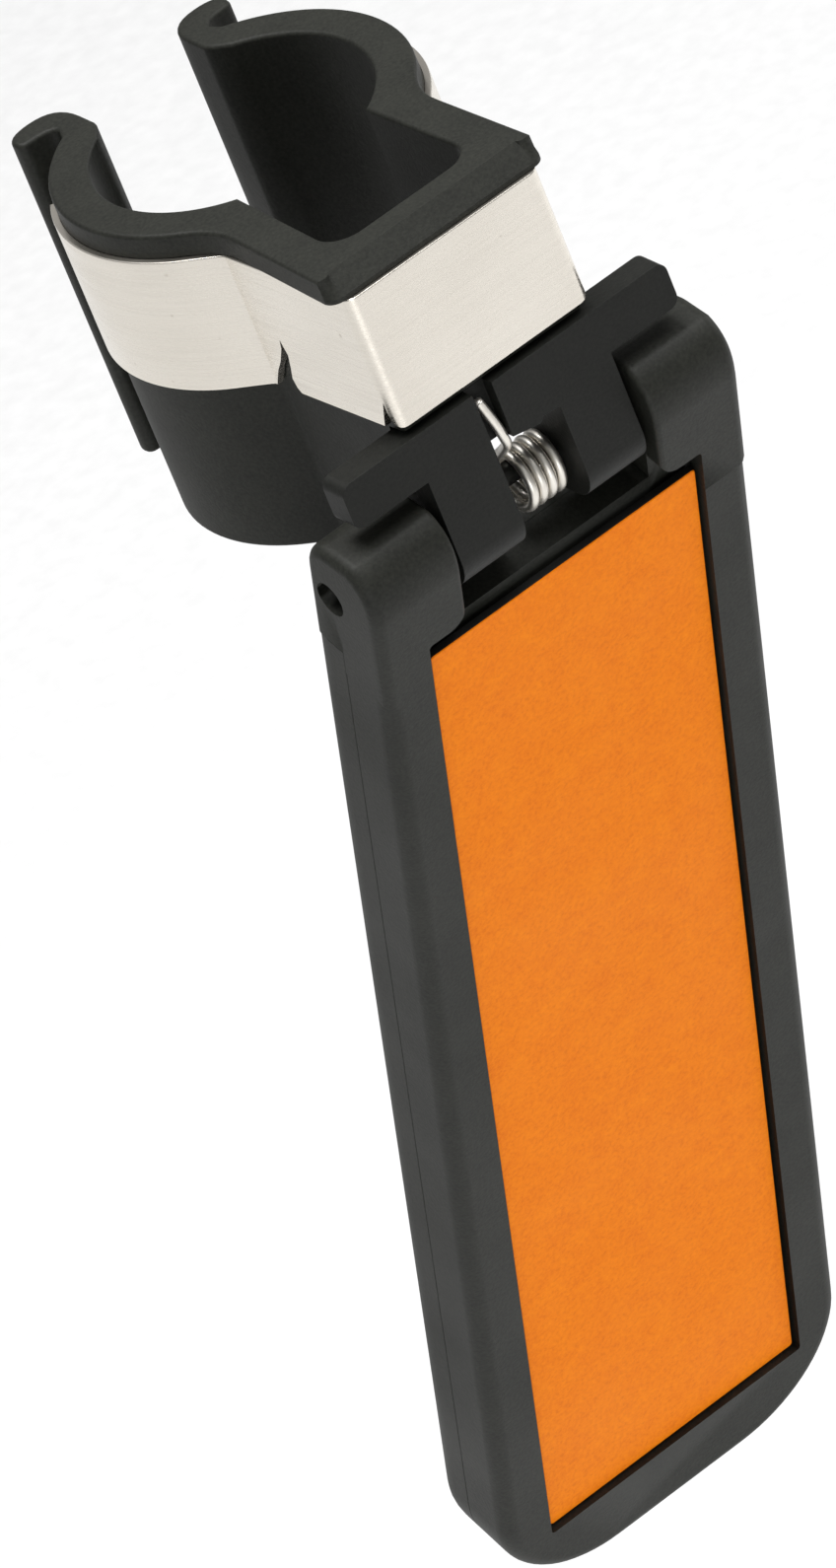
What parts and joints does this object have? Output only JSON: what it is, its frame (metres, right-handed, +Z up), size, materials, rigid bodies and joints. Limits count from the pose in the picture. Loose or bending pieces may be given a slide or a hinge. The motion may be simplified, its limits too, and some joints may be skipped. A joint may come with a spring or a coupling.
{
  "type": "spring clamp",
  "caption": "C-shaped spring clip with a steel band that grips a round pole, with a sprung hinged flap below it that carries an inset plate.",
  "frame": {"origin": "on the axis of the gripped pole, half-way up the clip", "axes": "+Z up the pole towards the clip's rim, +Y out of the clip's mouth, +X across the width along the hinge axis"},
  "size_m": [0.0386, 0.0638, 0.1588],
  "materials": {
    "black_plastic": "fine spark-eroded texture",
    "band_steel": "polished",
    "spring_steel": "bright drawn wire",
    "orange_plate": "fine grain",
    "white_tape": "matt film"
  },
  "bodies": {
    "clip": {"clip_body": "black_plastic", "steel_band": "band_steel", "hinge_bracket": "black_plastic", "bracket_screw_left": "spring_steel", "bracket_screw_right": "spring_steel", "torsion_spring": "spring_steel"},
    "flap": {"front_shell": "black_plastic", "rear_shell": "black_plastic", "insert_plate": "orange_plate", "adhesive_sheet": "white_tape", "hinge_pin": "spring_steel", "shell_screw_1": "spring_steel", "shell_screw_2": "spring_steel", "shell_screw_3": "spring_steel", "shell_screw_4": "spring_steel"}
  },
  "joints": [
    {"name": "flap_hinge", "type": "hinge", "parent": "clip", "child": "flap", "pos_m": [0, -0.02527, -0.01145], "axis": [-1, 0, 0], "range_deg": [0, 110], "stiffness_Nm_per_rad": 0.15, "springref_deg": -28.65, "deforming": ["torsion_spring"]}
  ]
}
